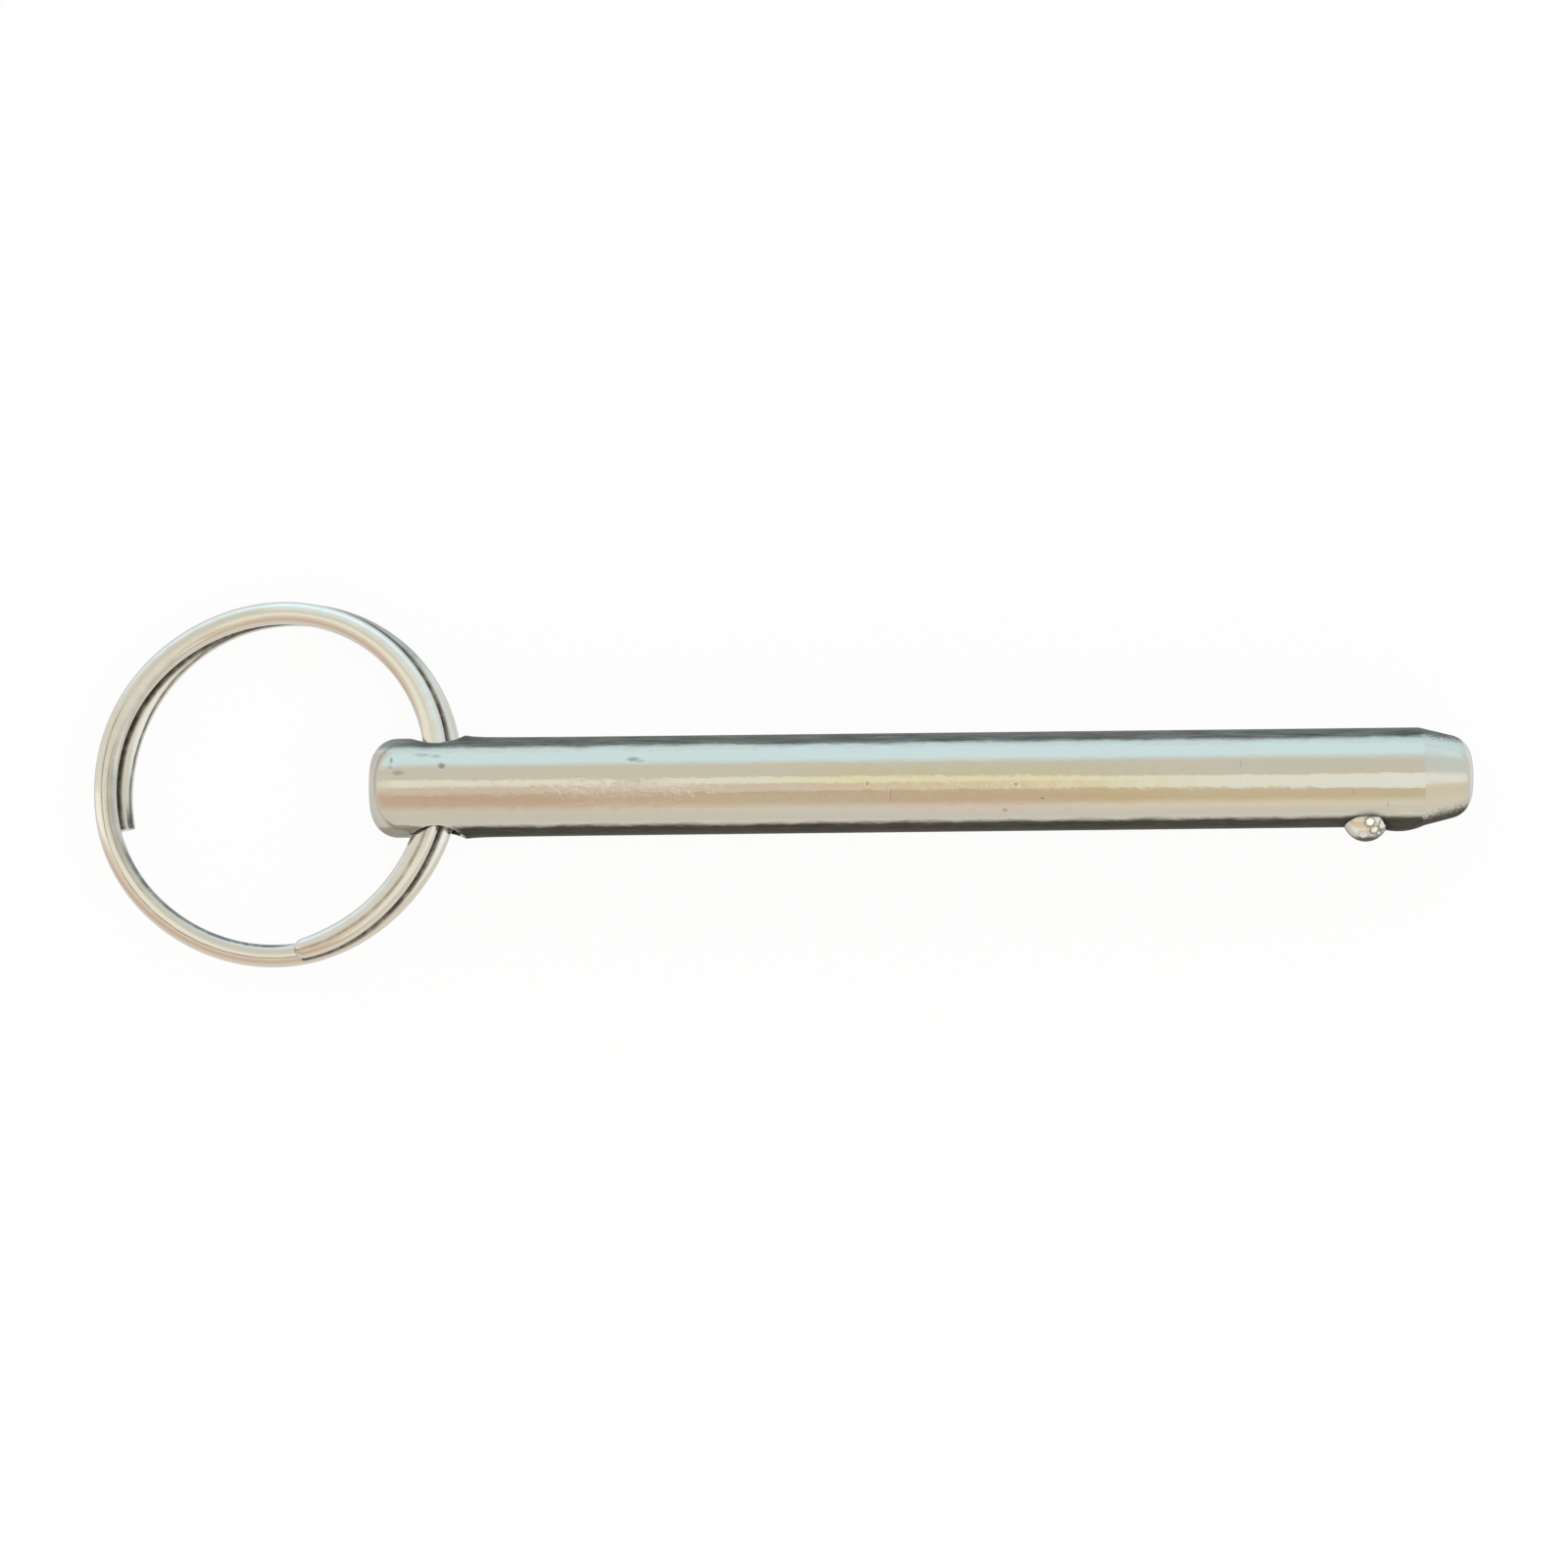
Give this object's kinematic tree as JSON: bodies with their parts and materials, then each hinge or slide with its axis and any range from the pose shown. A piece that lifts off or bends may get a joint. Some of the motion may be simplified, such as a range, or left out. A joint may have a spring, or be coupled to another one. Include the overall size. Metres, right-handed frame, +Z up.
{
  "type": "detent ring pin",
  "caption": "Straight steel quick-release pin with a tapered nose, a spring-loaded detent ball near the tip and a split ring through a cross hole at its head end.",
  "frame": {"origin": "on the pin's axis, half way between the ring hole and the detent ball", "axes": "+X along the pin from its head to its nose, +Z up from the surface it lies on, and the detent ball stands out towards -Y, rolled up by 14 degrees"},
  "size_m": [0.132, 0.0351, 0.0096],
  "materials": {
    "zinc_shank": "zinc plated steel with a faint yellow passivation, turned and lightly scratched",
    "ring_wire": "bright zinc plated spring wire, smooth",
    "ball_steel": "polished hardened steel",
    "spring_wire": "drawn spring wire"
  },
  "bodies": {
    "pin": {"pin_shank": "zinc_shank", "detent_spring": "spring_wire"},
    "ball": {"detent_ball": "ball_steel"},
    "ring": {"split_ring": "ring_wire"}
  },
  "joints": [
    {"name": "ball_slide", "type": "slide", "parent": "pin", "child": "ball", "axis": [0, 0.9703, -0.2419], "range_m": [0, 0.00149], "stiffness_N_per_m": 2450, "springref_m": -0.0014, "deforming": ["detent_spring"]},
    {"name": "ring_swing", "type": "hinge", "parent": "pin", "child": "ring", "pos_m": [-0.04445, 0, 0], "axis": [0, 0.989, -0.1478], "range_deg": [-164.5, 171]}
  ]
}
